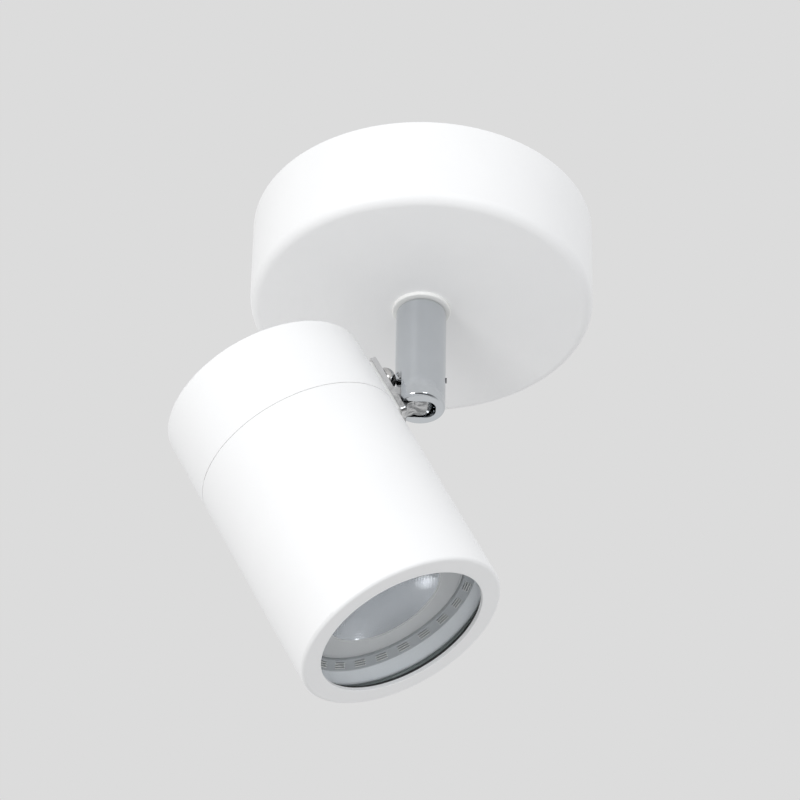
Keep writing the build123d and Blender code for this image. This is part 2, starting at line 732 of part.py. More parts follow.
with BuildPart() as rear_cap:
    with BuildSketch(head_profile):
        with BuildLine():
            Polyline(
                (0, 0),
                (head_radius, 0),
                (head_radius, cap_length),
                (spigot_outer, cap_length),
                (spigot_outer, spigot_end),
                (spigot_inner, spigot_end),
                (spigot_inner, cap_length - spigot_root),
                (head_bore, cap_length - spigot_root),
                (head_bore, cap_end_wall),
                (0, cap_end_wall),
                (0, 0),
            )
        make_face()
    revolve(axis=head_axis)
    rim_edges = rear_cap.edges().filter_by(GeomType.CIRCLE).filter_by(
        lambda edge: edge.radius > head_radius - fit_clearance
    )
    fillet(rim_edges.sort_by(Axis(head_rear, front_dir))[0], radius=cap_edge_radius)
    # groove for the seal ring
    with BuildSketch(head_profile):
        with Locations((spigot_outer, seal_level)):
            Rectangle(2 * (spigot_outer - seal_centre + seal_wire_radius), 2 * seal_wire_radius + body_gap)
    revolve(axis=head_axis, mode=Mode.SUBTRACT)
    # bosses for the lampholder
    with BuildSketch(head_section(cap_end_wall)):
        with Locations((0, holder_screw_circle), (0, -holder_screw_circle)):
            Circle(boss_radius)
    extrude(amount=holder_back - cap_end_wall)
    with BuildSketch(head_section(holder_back)):
        with Locations((0, holder_screw_circle), (0, -holder_screw_circle)):
            Circle(holder_screw_radius + fit_clearance)
    extrude(amount=-(holder_back - cap_end_wall), mode=Mode.SUBTRACT)
    # strap screw and lead
    with BuildSketch(strap_section(head_offset - head_radius)):
        with Locations((-strap_screw_above_pivot, 0)):
            Circle(strap_screw_radius + fit_clearance)
        Circle(grommet_radius)
    extrude(amount=-2 * head_wall, mode=Mode.SUBTRACT)

with BuildPart() as seal_ring:
    with BuildSketch(head_profile):
        with Locations((seal_centre, seal_level)):
            Circle(seal_wire_radius)
    revolve(axis=head_axis)

grommet_face = head_offset - head_bore
with BuildPart() as lead_grommet:
    with BuildSketch(strap_section(grommet_face + grommet_flange_thickness)):
        Circle(grommet_flange_radius)
    extrude(amount=grommet_face)
    with BuildSketch(head_section(0)):
        Circle(head_bore)
    extrude(amount=head_length, mode=Mode.INTERSECT)
    with BuildSketch(strap_section(grommet_face + grommet_flange_thickness)):
        Circle(grommet_radius - fit_clearance)
    extrude(amount=grommet_flange_thickness + head_wall - body_gap)
    with BuildSketch(strap_section(grommet_face + 2 * grommet_flange_thickness)):
        Circle(grommet_bore)
    extrude(amount=2 * head_wall + grommet_face, mode=Mode.SUBTRACT)

# the lead to the lampholder: in through the neck, back past the holder and up into its rear
lead_lane = (holder_radius + head_bore) / 2
lead_back = head_behind_pivot - (cap_end_wall + holder_back) / 2
with BuildPart() as head_lead:
    with BuildLine(pivot_profile) as lead_route:
        FilletPolyline(
            (-strap_distance, 0),
            (-head_offset + lead_lane, 0),
            (-head_offset + lead_lane, -lead_back),
            (-head_offset + holder_cavity_radius, -lead_back),
            (-head_offset + holder_cavity_radius, -head_behind_pivot + holder_back),
            radius=head_lead_bends,
        )
    with BuildSketch(Plane(origin=pivot - stem_dir * strap_distance, z_dir=-stem_dir)):
        Circle(head_lead_radius)
    sweep()

# ---------------------------------------------------------------- lampholder
half_pins = pin_spacing / 2
slot_half_width = pin_radius + body_gap
entry_radius = pin_head_radius + body_gap
cavity_front = holder_front - holder_face
cavity_back = cavity_front - holder_cavity_depth

with BuildPart() as lampholder:
    with BuildSketch(head_section(holder_back)):
        Circle(holder_radius)
    extrude(amount=holder_length)
    front_edge = lampholder.edges().filter_by(GeomType.CIRCLE).sort_by(Axis(head_rear, front_dir))[-1]
    fillet(front_edge, radius=body_gap)
    with BuildSketch(head_section(cavity_back)):
        Circle(holder_cavity_radius)
    extrude(amount=holder_cavity_depth, mode=Mode.SUBTRACT)
    # bayonet slots: a round entry for each pin's head and an arc that locks behind it
    with BuildSketch(head_section(cavity_front)):
        for start in (0, 180):
            slot_path = CenterArc((0, 0), half_pins, start, twist_angle, mode=Mode.PRIVATE)
            SlotArc(slot_path, 2 * slot_half_width)
            with PolarLocations(half_pins, 1, start_angle=start):
                Circle(slot_half_width)
            with PolarLocations(half_pins, 1, start_angle=start + twist_angle):
                Circle(entry_radius)
    extrude(amount=holder_face, mode=Mode.SUBTRACT)
    with BuildSketch(head_section(holder_back)):
        with Locations((0, holder_screw_circle), (0, -holder_screw_circle)):
            Circle(holder_screw_radius + running_clearance)
    extrude(amount=holder_length, mode=Mode.SUBTRACT)
    with BuildSketch(head_section(holder_front)):
        with Locations((0, holder_screw_circle), (0, -holder_screw_circle)):
            Circle(holder_screw_head_radius + body_gap)
    extrude(amount=-(holder_screw_head_height + body_gap), mode=Mode.SUBTRACT)

screw_seat = holder_front - holder_screw_head_height - body_gap
with BuildPart() as holder_screws:
    with BuildSketch(head_section(screw_seat)):
        with Locations((0, holder_screw_circle), (0, -holder_screw_circle)):
            Circle(holder_screw_head_radius)
    extrude(amount=holder_screw_head_height)
    with BuildSketch(head_section(screw_seat)):
        with Locations((0, holder_screw_circle), (0, -holder_screw_circle)):
            Circle(holder_screw_radius)
    extrude(amount=-(screw_seat - holder_back + boss_radius))
    with BuildSketch(head_section(screw_seat + holder_screw_head_height)):
        with Locations((0, holder_screw_circle), (0, -holder_screw_circle)):
            Rectangle(holder_screw_head_radius, strap_screw_slot_width)
            Rectangle(strap_screw_slot_width, holder_screw_head_radius)
    extrude(amount=-strap_screw_slot_depth, mode=Mode.SUBTRACT)

with BuildPart() as holder_contacts:
    with BuildSketch(head_section(cavity_back)):
        with Locations((half_pins, 0), (-half_pins, 0)):
            Rectangle(contact_width, contact_width)
    extrude(amount=contact_thickness)

# ---------------------------------------------------------------- front sleeve, gasket, glass and baffle
lip_back = head_length - lip_thickness
gasket_back = lip_back - gasket_thickness
glass_back = gasket_back - glass_thickness
baffle_rear = lamp_front - baffle_wall + body_gap
groove_level = baffle_rear - snap_wire_radius
loose_bore = head_bore - fit_clearance

with BuildPart() as front_sleeve:
    with BuildSketch(head_profile):
        with BuildLine():
            Polyline(
                (head_bore, sleeve_rear),
                (head_radius, sleeve_rear),
                (head_radius, head_length),
                (opening_radius, head_length),
                (opening_radius, lip_back),
                (head_bore, lip_back),
                (head_bore, sleeve_rear),
            )
        make_face()
    revolve(axis=head_axis)
    front_edges = front_sleeve.edges().filter_by(GeomType.CIRCLE).group_by(Axis(head_rear, front_dir))[-1]
    fillet(front_edges.sort_by(SortBy.RADIUS)[-1], radius=front_edge_radius)
    front_edges = front_sleeve.edges().filter_by(GeomType.CIRCLE).group_by(Axis(head_rear, front_dir))[-1]
    fillet(front_edges.sort_by(SortBy.RADIUS)[0], radius=opening_edge_radius)
    with BuildSketch(head_profile):
        with Locations((head_bore, groove_level)):
            Circle(snap_wire_radius + fit_clearance)
    revolve(axis=head_axis, mode=Mode.SUBTRACT)

with BuildPart() as lip_gasket:
    with BuildSketch(head_section(gasket_back)):
        Circle(loose_bore)
        Circle(opening_radius + gasket_overlap, mode=Mode.SUBTRACT)
    extrude(amount=gasket_thickness)

with BuildPart() as front_glass:
    with BuildSketch(head_section(glass_back)):
        Circle(loose_bore)
    extrude(amount=glass_thickness)
    fillet(front_glass.edges().filter_by(GeomType.CIRCLE), radius=body_gap)

with BuildPart() as front_baffle:
    with BuildSketch(head_profile):
        with BuildLine():
            Polyline(
                (loose_bore, baffle_rear),
                (loose_bore, glass_back),
                (loose_bore - baffle_wall, glass_back),
                (loose_bore - baffle_wall, baffle_rear + baffle_wall + baffle_slope),
                (lamp_radius + body_gap, baffle_rear + baffle_wall),
                (lamp_radius + body_gap, baffle_rear),
                (loose_bore, baffle_rear),
            )
        make_face()
    revolve(axis=head_axis)
    # windows through the sloping flange, evenly spaced round the lamp
    flange_middle = (loose_bore - baffle_wall + lamp_radius + body_gap) / 2
    with BuildSketch(head_section(baffle_rear)):
        with PolarLocations(flange_middle, baffle_window_count):
            Rectangle(baffle_window_height, baffle_window_width)
    extrude(amount=baffle_wall + baffle_slope, mode=Mode.SUBTRACT)

with BuildPart() as snap_ring:
    with BuildSketch(head_profile):
        with Locations((head_bore, groove_level)):
            Circle(snap_wire_radius)
    revolve(axis=head_axis, revolution_arc=360 - twist_angle)

# ---------------------------------------------------------------- lamp
bezel_back = lamp_front - bezel_height
neck_level = lamp_back + lamp_base_length
shoulder_level = lamp_back + lamp_shoulder
lens_radius = bezel_inner_radius - fit_clearance
lens_seat = lens_radius - lens_seat_width
cavity_floor = bezel_back - lamp_cavity_depth
dish_rim = lamp_front - dish_sink
dish_centre = dish_rim - dish_depth
groove_start = neck_level + fin_groove_margin
groove_end = shoulder_level - fin_groove_margin


def cone_radius(level):
    """Radius of the lamp's tapered housing at this distance from the head's rear end."""
    return lamp_base_radius + (lamp_radius - lamp_base_radius) * (level - neck_level) / (
        shoulder_level - neck_level
    )


def arc_radius(half_chord, rise):
    """Radius of an arc from its half chord and its rise."""
    return (half_chord**2 + rise**2) / (2 * rise)


with BuildPart() as lamp_body:
    with BuildSketch(head_profile):
        with BuildLine():
            Polyline(
                (0, lamp_back),
                (lamp_base_radius, lamp_back),
                (lamp_base_radius, neck_level),
                (lamp_radius, shoulder_level),
                (lamp_radius, bezel_back),
                (lens_seat, bezel_back),
                (lens_seat, cavity_floor),
                (0, cavity_floor),
                (0, lamp_back),
            )
        make_face()
    revolve(axis=head_axis)
    # grooves between the cooling fins
    for index in range(fin_groove_count):
        across = stem_dir.rotate(Axis((0, 0, 0), front_dir), index * 360 / fin_groove_count)
        with BuildSketch(Plane(origin=head_rear, x_dir=across, z_dir=across.cross(front_dir))):
            with BuildLine():
                Polyline(
                    (cone_radius(groove_start) - fin_groove_depth, groove_start),
                    (cone_radius(groove_end) - fin_groove_depth, groove_end),
                    (lamp_radius, groove_end),
                    (lamp_radius, groove_start),
                    (cone_radius(groove_start) - fin_groove_depth, groove_start),
                )
            make_face()
        extrude(amount=fin_groove_width / 2, both=True, mode=Mode.SUBTRACT)

with BuildPart() as lamp_board:
    with BuildSketch(head_section(cavity_floor)):
        Circle(lens_seat - fit_clearance)
    extrude(amount=board_thickness)
    with BuildSketch(head_section(cavity_floor + board_thickness)):
        Rectangle(chip_size, chip_size)
    extrude(amount=chip_height)

with BuildPart() as lamp_bezel:
    with BuildSketch(head_profile):
        with BuildLine():
            Polyline(
                (bezel_inner_radius + bezel_bevel, lamp_front),
                (lamp_radius - bezel_edge_radius, lamp_front),
            )
            CenterArc(
                (lamp_radius - bezel_edge_radius, lamp_front - bezel_edge_radius), bezel_edge_radius, 0, 90
            )
            Polyline(
                (lamp_radius, lamp_front - bezel_edge_radius),
                (lamp_radius, bezel_back),
                (bezel_inner_radius, bezel_back),
                (bezel_inner_radius, lamp_front - bezel_bevel),
                (bezel_inner_radius + bezel_bevel, lamp_front),
            )
        make_face()
    revolve(axis=head_axis)

# a dished lens: both its faces are shallow arcs
with BuildPart() as lamp_lens:
    with BuildSketch(head_profile):
        with BuildLine():
            RadiusArc((lens_radius, dish_rim), (0, dish_centre), arc_radius(lens_radius, dish_depth))
            back_rise = bezel_back - dish_centre + lens_thickness
            Line((0, dish_centre), (0, dish_centre - lens_thickness))
            RadiusArc(
                (0, dish_centre - lens_thickness), (lens_seat, bezel_back), -arc_radius(lens_seat, back_rise)
            )
            Polyline((lens_seat, bezel_back), (lens_radius, bezel_back), (lens_radius, dish_rim))
        make_face()
    revolve(axis=head_axis)

with BuildPart() as lamp_pins:
    with BuildSketch(head_section(lamp_back)):
        with Locations((half_pins, 0), (-half_pins, 0)):
            Circle(pin_radius)
    extrude(amount=-pin_length)
    with BuildSketch(head_section(lamp_back - pin_length)):
        with Locations((half_pins, 0), (-half_pins, 0)):
            Circle(pin_head_radius)
    extrude(amount=pin_head_height)

# ---------------------------------------------------------------- labels and files
sub_parts = {
    "canopy_shell": canopy_shell,
    "ceiling_bracket": ceiling_bracket,
    "canopy_keeper": canopy_keeper,
    "canopy_screw": canopy_screw,
    "terminal_block": terminal_block,
    "terminal_inserts": terminal_inserts,
    "terminal_screws": terminal_screws,
    "block_screw": block_screw,
    "earth_washer": earth_washer,
    "earth_screw": earth_screw,
    "collar_washer": collar_washer,
    "stop_plate": stop_plate,
    "stop_finger": stop_finger,
    "spring_washer": spring_washer,
    "lock_nut": lock_nut,
    "threaded_nipple": threaded_nipple,
    "stem": stem,
    "pivot_screw": pivot_screw,
    "lead_bush": lead_bush,
    "grub_screw": grub_screw,
    "stem_lead": stem_lead,
    "supply_lead": supply_lead,
    "swivel_knuckle": swivel_knuckle,
    "strap_saddle": strap_saddle,
    "strap_washer": strap_washer,
    "strap_screw": strap_screw,
    "nut_plate": nut_plate,
    "rear_cap": rear_cap,
    "seal_ring": seal_ring,
    "lead_grommet": lead_grommet,
    "head_lead": head_lead,
    "lampholder": lampholder,
    "holder_screws": holder_screws,
    "holder_contacts": holder_contacts,
    "front_sleeve": front_sleeve,
    "lip_gasket": lip_gasket,
    "front_glass": front_glass,
    "front_baffle": front_baffle,
    "snap_ring": snap_ring,
    "lamp_body": lamp_body,
    "lamp_board": lamp_board,
    "lamp_bezel": lamp_bezel,
    "lamp_lens": lamp_lens,
    "lamp_pins": lamp_pins,
}

os.makedirs("parts", exist_ok=True)
for name, piece in sub_parts.items():
    piece.part.label = name
    export_step(piece.part, f"parts/{name}.step")
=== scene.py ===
import json
import math

import bmesh
import bpy
from mathutils import Matrix, Vector


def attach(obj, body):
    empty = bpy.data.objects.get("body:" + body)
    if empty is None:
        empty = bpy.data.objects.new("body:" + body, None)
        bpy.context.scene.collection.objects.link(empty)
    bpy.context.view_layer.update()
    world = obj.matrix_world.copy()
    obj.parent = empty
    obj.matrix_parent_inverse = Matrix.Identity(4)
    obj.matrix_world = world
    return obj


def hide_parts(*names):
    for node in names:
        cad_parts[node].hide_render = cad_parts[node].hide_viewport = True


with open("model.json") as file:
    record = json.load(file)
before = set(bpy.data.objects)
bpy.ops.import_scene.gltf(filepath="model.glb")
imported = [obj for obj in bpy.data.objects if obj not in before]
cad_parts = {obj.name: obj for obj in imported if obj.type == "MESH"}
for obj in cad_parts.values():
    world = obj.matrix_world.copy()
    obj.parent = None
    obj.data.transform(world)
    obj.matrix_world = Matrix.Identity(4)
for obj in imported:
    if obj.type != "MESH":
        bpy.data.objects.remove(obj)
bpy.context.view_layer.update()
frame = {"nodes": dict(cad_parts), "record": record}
nodes = frame["nodes"]

# ---------------------------------------------------------------- camera
# At the photograph's viewing angle. Angles in radians, places in metres.
PICTURE = 800
SENSOR = 36.0
FOCAL_PIXELS = 4192.96
CAMERA_PLACE = Vector((-0.03644, -0.95152, -0.79550))
CAMERA_RISE = 0.656223
CAMERA_ROLL = -0.020341
CAMERA_TURN = math.radians(-1.85)
CAMERA_CLIP = (0.01, 100)


def photo_camera():
    """The camera of the photograph: below the light, looking up at it."""
    turn = Matrix.Rotation(CAMERA_TURN, 3, "Z")
    right = turn @ Vector((1, 0, 0))
    ahead = turn @ Vector((0, math.cos(CAMERA_RISE), math.sin(CAMERA_RISE)))
    above = turn @ Vector((0, -math.sin(CAMERA_RISE), math.cos(CAMERA_RISE)))
    c, s = math.cos(CAMERA_ROLL), math.sin(CAMERA_ROLL)
    axes = (right * c - above * s, right * s + above * c, -ahead)
    data = bpy.data.cameras.new("camera")
    data.sensor_width = SENSOR
    data.lens = FOCAL_PIXELS * SENSOR / PICTURE
    data.clip_start, data.clip_end = CAMERA_CLIP
    camera = bpy.data.objects.new("camera", data)
    bpy.context.scene.collection.objects.link(camera)
    pose = Matrix(axes).transposed().to_4x4()
    pose.translation = CAMERA_PLACE
    camera.matrix_world = pose
    bpy.context.scene.camera = camera


# ---------------------------------------------------------------- places on the object
# The head's own frame at rest, in millimetres: its axis, its rear end and the tilt's pivot.
MM = 0.001
TILT = math.radians(26.8)
FRONT = Vector((math.sin(TILT), 0, -math.cos(TILT)))
ACROSS = Vector((math.cos(TILT), 0, math.sin(TILT)))
SIDE = FRONT.cross(ACROSS)
PIVOT = Vector((0, 0, -61.2))
PIVOT_TO_AXIS = 40.2
PIVOT_TO_REAR = 19.2
HEAD_REAR = PIVOT - ACROSS * PIVOT_TO_AXIS - FRONT * PIVOT_TO_REAR


def in_head(radius, angle, along):
    """A point of the head, from its radius, its angle and its distance from the rear end."""
    spoke = ACROSS * math.cos(angle) + SIDE * math.sin(angle)
    return (HEAD_REAR + spoke * radius + FRONT * along) * MM


def on_stem(radius, angle, height):
    """A point round the stem's axis, from its radius, its angle and its height."""
    return Vector((radius * math.cos(angle), radius * math.sin(angle), height)) * MM


# ---------------------------------------------------------------- lamps and world
LAMP_TARGET = Vector((0, 0, -0.06))
LAMP_DISTANCE = 1.3
WHITE = (1, 1, 1)
BACKDROP = (0.7157, 0.7157, 0.7157)
AMBIENT = 0.83
AMBIENT_TINT = (0.985, 0.99, 1.0)


def soft_light(name, azimuth, elevation, size, power, colour=WHITE, only=()):
    """A square soft box that faces the object, placed by the direction it shines from.

    Where pieces are named in only, it lights no others.
    """
    data = bpy.data.lights.new(name, "AREA")
    data.shape, data.size, data.energy, data.color = "SQUARE", size, power, colour
    light = bpy.data.objects.new(name, data)
    bpy.context.scene.collection.objects.link(light)
    a, e = math.radians(azimuth), math.radians(elevation)
    away = Vector((math.cos(a) * math.cos(e), math.sin(a) * math.cos(e), math.sin(e)))
    light.location = LAMP_TARGET + away * LAMP_DISTANCE
    light.rotation_mode = "QUATERNION"
    light.rotation_quaternion = (-away).to_track_quat("-Z", "Y")
    if only:
        lit = bpy.data.collections.new(name + "_on")
        for piece in only:
            lit.objects.link(piece)
        light.light_linking.receiver_collection = lit


def make_world():
    """Even light from all round. The camera, metal and glass see the plain backdrop instead."""
    world = bpy.data.worlds.new("studio")
    world.use_nodes = True
    tree = world.node_tree
    tree.nodes.clear()
    out = tree.nodes.new("ShaderNodeOutputWorld")
    ambient = tree.nodes.new("ShaderNodeBackground")
    ambient.inputs["Color"].default_value = (*AMBIENT_TINT, 1)
    ambient.inputs["Strength"].default_value = AMBIENT
    backdrop = tree.nodes.new("ShaderNodeBackground")
    backdrop.inputs["Color"].default_value = (*BACKDROP, 1)
    path = tree.nodes.new("ShaderNodeLightPath")
    either = path.outputs["Is Camera Ray"]
    for kind in ("Is Glossy Ray", "Is Transmission Ray"):
        largest = tree.nodes.new("ShaderNodeMath")
        largest.operation = "MAXIMUM"
        tree.links.new(either, largest.inputs[0])
        tree.links.new(path.outputs[kind], largest.inputs[1])
        either = largest.outputs[0]
    mix = tree.nodes.new("ShaderNodeMixShader")
    tree.links.new(either, mix.inputs[0])
    tree.links.new(ambient.outputs[0], mix.inputs[1])
    tree.links.new(backdrop.outputs[0], mix.inputs[2])
    tree.links.new(mix.outputs[0], out.inputs["Surface"])
    bpy.context.scene.world = world


# ---------------------------------------------------------------- materials
# The Mix node has sockets of one name for each kind of data. These hold colours.
MIX_FIRST, MIX_SECOND, MIX_RESULT = 6, 7, 2
MEASURES = ("LENGTH", "DISTANCE", "DOT_PRODUCT")


class Surface:
    """A Principled material whose patterns follow the shared frame, in metres."""

    def __init__(self, name, **settings):
        self.material = bpy.data.materials.new(name)
        self.material.use_nodes = True
        self.tree = self.material.node_tree
        self.shader = self.tree.nodes["Principled BSDF"]
        self.place = self.add("ShaderNodeTexCoord").outputs["Object"]
        for socket, value in settings.items():
            self.shader.inputs[socket.replace("_", " ")].default_value = value

    def add(self, kind, **settings):
        node = self.tree.nodes.new(kind)
        for key, value in settings.items():
            setattr(node, key, value)
        return node

    def link(self, start, end):
        self.tree.links.new(start, end)

    def vector(self, operation, first, second=None):
        """Result of a Vector Math node. The second value is a constant."""
        node = self.add("ShaderNodeVectorMath", operation=operation)
        self.link(first, node.inputs[0])
        if second is not None:
            node.inputs[1].default_value = second
        return node.outputs["Value" if operation in MEASURES else "Vector"]

    def from_point(self, point):
        """Way to the shaded place, in metres, from a point in millimetres."""
        return self.vector("SUBTRACT", self.place, point * MM)

    def along_head(self):
        """Distance from the head's rear end, in millimetres, at rest."""
        return self.vector("DOT_PRODUCT", self.from_point(HEAD_REAR), FRONT / MM)

    def off_axis(self):
        """Distance from the head's axis, in millimetres, at rest."""
        across = self.vector("CROSS_PRODUCT", self.from_point(HEAD_REAR), FRONT / MM)
        return self.vector("LENGTH", across)

    def remap(self, socket, low, high, from_low=0.0, from_high=1.0):
        """Low where the socket is from_low, high where it is from_high, held at both ends."""
        node = self.add("ShaderNodeMapRange")
        self.link(socket, node.inputs["Value"])
        node.inputs["From Min"].default_value = from_low
        node.inputs["From Max"].default_value = from_high
        node.inputs["To Min"].default_value = low
        node.inputs["To Max"].default_value = high
        return node.outputs["Result"]

    def noise(self, size, detail=3.0, stretch=None, low=0.3, high=0.7):
        """Noise with features of this size. Its values from low to high become 0 to 1."""
        place = self.place
        if stretch:
            mapping = self.add("ShaderNodeMapping")
            self.link(place, mapping.inputs["Vector"])
            mapping.inputs["Scale"].default_value = stretch
            place = mapping.outputs["Vector"]
        node = self.add("ShaderNodeTexNoise")
        self.link(place, node.inputs["Vector"])
        node.inputs["Scale"].default_value = 1 / size
        node.inputs["Detail"].default_value = detail
        return self.remap(node.outputs["Fac"], 0.0, 1.0, low, high)

    def colour(self, socket, first, second):
        """Base colour, from the first, a colour or an output, to the second where socket is 1."""
        node = self.add("ShaderNodeMix", data_type="RGBA")
        self.link(socket, node.inputs["Factor"])
        if isinstance(first, tuple):
            node.inputs[MIX_FIRST].default_value = (*first, 1)
        else:
            self.link(first, node.inputs[MIX_FIRST])
        node.inputs[MIX_SECOND].default_value = (*second, 1)
        self.link(node.outputs[MIX_RESULT], self.shader.inputs["Base Color"])

    def recolour(self, socket, colour):
        """Takes the base colour so far over to another one where the socket is 1."""
        base = self.shader.inputs["Base Color"]
        so_far = base.links[0].from_socket if base.is_linked else tuple(base.default_value)[:3]
        self.colour(socket, so_far, colour)

    def roughness(self, socket, low, high):
        self.link(self.remap(socket, low, high), self.shader.inputs["Roughness"])

    def bump(self, socket, height):
        node = self.add("ShaderNodeBump")
        self.link(socket, node.inputs["Height"])
        node.inputs["Distance"].default_value = height
        node.inputs["Strength"].default_value = 1.0
        self.link(node.outputs["Normal"], self.shader.inputs["Normal"])


# How far the roughness strays below and above its own value.
PLAIN_STRAY = (0.04, 0.04)
METAL_STRAY = (0.04, 0.05)
# Sizes of the patterns on metal, in metres.
METAL_TARNISH = 0.006
METAL_WEAR = 0.003
METAL_LINES = 0.0006


def scaled(colour, factor):
    return tuple(min(1.0, part * factor) for part in colour)


def drift(made, size, colour, variation):
    """Slow variation of a colour, both ways."""
    made.colour(made.noise(size), scaled(colour, 1 - variation), scaled(colour, 1 + variation))


def plain_surface(
    name, colour, rough, variation=0.02, mottle=0.015, grain=0.0004, relief=0.00001
):
    """Moulded, painted or sintered material: slow drift, fine grain and a little relief."""
    made = Surface(name)
    drift(made, mottle, colour, variation)
    made.roughness(made.noise(mottle / 3), rough - PLAIN_STRAY[0], rough + PLAIN_STRAY[1])
    made.bump(made.noise(grain, detail=2.0), relief)
    return made


def metal_surface(name, colour, rough, stretch=None, relief=0.000003, variation=0.05):
    """Plated or bare metal with fine lines where it was turned or brushed."""
    made = Surface(name, Metallic=1.0)
    drift(made, METAL_TARNISH, colour, variation)
    made.roughness(made.noise(METAL_WEAR), rough - METAL_STRAY[0], rough + METAL_STRAY[1])
    made.bump(made.noise(METAL_LINES, detail=4.0, stretch=stretch), relief)
    return made


# Where the baffle turns darker on its flange, and where painted shade darkens it towards the
# glass's rim, in millimetres from the head's rear end.
FLANGE_END = (80.7, 81.1)
RIM_SHADE = (85.0, 86.4)


def baffle_surface():
    """Satin reflector, darker on its sloping flange, with painted shade and painted reflection of
    the dark lip where it runs into the glass's rim.
    """
    made = plain_surface("grey_plastic", (0.92, 0.955, 0.985), 0.34, variation=0.01)
    along = made.along_head()
    made.recolour(made.remap(along, 1.0, 0.0, *FLANGE_END), (0.34, 0.36, 0.38))
    # Painted shade and painted reflection: the wall turns dark towards the glass's rim.
    made.recolour(made.remap(along, 0.0, 1.0, *RIM_SHADE), (0.26, 0.29, 0.30))
    return made


# The radii, in millimetres, between which the clear glass becomes its ground edge.
GROUND_EDGE = (28.0, 28.2)
CLEAR_ALPHA = 0.07
EDGE_ALPHA = 0.95


def glass_surface():
    """Clear float glass with a green ground edge."""
    made = Surface("front_glass", IOR=1.5, Base_Color=(0.86, 0.92, 0.93, 1))
    made.roughness(made.noise(0.012), 0.02, 0.06)
    edge = made.remap(made.off_axis(), 0.0, 1.0, *GROUND_EDGE)
    made.recolour(edge, (0.30, 0.35, 0.34))
    made.link(made.remap(edge, CLEAR_ALPHA, EDGE_ALPHA), made.shader.inputs["Alpha"])
    return made


# The radii, in millimetres, between which the lens's darker middle ends.
DISH_SHADE = (3.0, 14.0)


def lens_surface():
    """Coated lens, half a mirror, with a darker middle."""
    made = Surface("lamp_lens", Metallic=0.7, Coat_Weight=0.5, Coat_Roughness=0.08)
    made.colour(made.noise(0.008), (0.44, 0.47, 0.51), (0.50, 0.53, 0.57))
    made.recolour(made.remap(made.off_axis(), 0.9, 0.0, *DISH_SHADE), (0.33, 0.36, 0.40))
    made.roughness(made.noise(0.004), 0.06, 0.12)
    return made


# The painted shade of the slot on the cast tongue ends between these distances from the pivot, in
# metres.
SLOT_SHADE_REACH = (0.0075, 0.0105)
# Size, stretch and share of the dark streaks of painted reflection on the tongue.
REFLECTION_STREAK_SIZE = 0.0013
REFLECTION_STREAK_STRETCH = (0.6, 1.0, 0.6)
REFLECTION_STREAK_SHARE = (0.42, 0.60)


def knuckle_surface():
    """The strap is bright plate. The cast tongue in the slot is painted darker, as painted shade
    of the slot, with dark streaks of painted reflection.
    """
    made = metal_surface("nickel_painted_shade", (0.74, 0.74, 0.745), 0.17)
    away = made.vector("LENGTH", made.from_point(PIVOT))
    # Painted shade: the tongue inside the slot is darker.
    slot_shade = made.remap(away, 1.0, 0.0, *SLOT_SHADE_REACH)
    made.recolour(slot_shade, (0.56, 0.565, 0.57))
    # Dark streaks of painted reflection, only within the painted shade of the slot.
    low, high = REFLECTION_STREAK_SHARE
    streaks = made.noise(REFLECTION_STREAK_SIZE, detail=2.0, stretch=REFLECTION_STREAK_STRETCH, low=low, high=high)
    both = made.add("ShaderNodeMath", operation="MULTIPLY", use_clamp=True)
    made.link(streaks, both.inputs[0])
    made.link(slot_shade, both.inputs[1])
    made.recolour(both.outputs[0], (0.25, 0.255, 0.26))
    return made


def make_materials():
    """The finish of each slot, and of the knuckle, which has one of its own with painted shade
    and painted reflection on its tongue.
    """
    made = {
        "white_paint": plain_surface(
            "white_paint", (0.93, 0.93, 0.928), 0.46,
            variation=0.006, grain=0.0005, relief=0.000012,
        ),
        "chrome": metal_surface(
            "chrome", (0.61, 0.635, 0.66), 0.09,
            stretch=(1, 1, 0.15), relief=0.0000006, variation=0.015,
        ),
        "nickel": metal_surface("nickel", (0.64, 0.63, 0.62), 0.15),
        "zinc_steel": metal_surface("zinc_steel", (0.62, 0.64, 0.66), 0.34, variation=0.10),
        "dark_steel": metal_surface("dark_steel", (0.16, 0.16, 0.17), 0.42),
        "brass": metal_surface("brass", (0.80, 0.62, 0.30), 0.27),
        "white_nylon": plain_surface("white_nylon", (0.90, 0.90, 0.88), 0.42),
        "block_plastic": plain_surface("block_plastic", (0.84, 0.84, 0.80), 0.48),
        "grey_plastic": baffle_surface(),
        "swivel_knuckle": knuckle_surface(),
        "black_rubber": plain_surface(
            "black_rubber", (0.03, 0.03, 0.03), 0.68, variation=0.2, relief=0.00003
        ),
        "lead_sleeve": plain_surface(
            "lead_sleeve", (0.84, 0.84, 0.81), 0.58, grain=0.0005, relief=0.00008
        ),
        "steatite": plain_surface(
            "steatite", (0.88, 0.86, 0.80), 0.70, grain=0.0003, relief=0.00003
        ),
        "lamp_housing": plain_surface("lamp_housing", (0.80, 0.80, 0.79), 0.42),
        "lamp_bezel": plain_surface("lamp_bezel", (0.74, 0.745, 0.75), 0.34),
        "circuit_board": plain_surface("circuit_board", (0.86, 0.86, 0.82), 0.50),
        "front_glass": glass_surface(),
        "lamp_lens": lens_surface(),
    }
    return {slot: surface.material for slot, surface in made.items()}


def dress(materials):
    """Gives every CAD node its own material, or that of its slot."""
    for row in frame["record"]["subparts"]:
        node = nodes[row["node"]]
        node.data.materials.clear()
        node.data.materials.append(materials.get(row["node"], materials[row["material_slot"]]))


# ---------------------------------------------------------------- floor
FLOOR_LEVEL = -1.6
FLOOR_RADIUS = 5.0
FLOOR_SIDES = 96
# What metal and glass see of the floor: its brightness, and the dark place behind the camera.
FLOOR_GLOSS = 0.78
SHADE_COLOUR = 0.14
SHADE_PLACE = (0.5, -2.3, FLOOR_LEVEL)
SHADE_RADII = (1.4, 3.4)


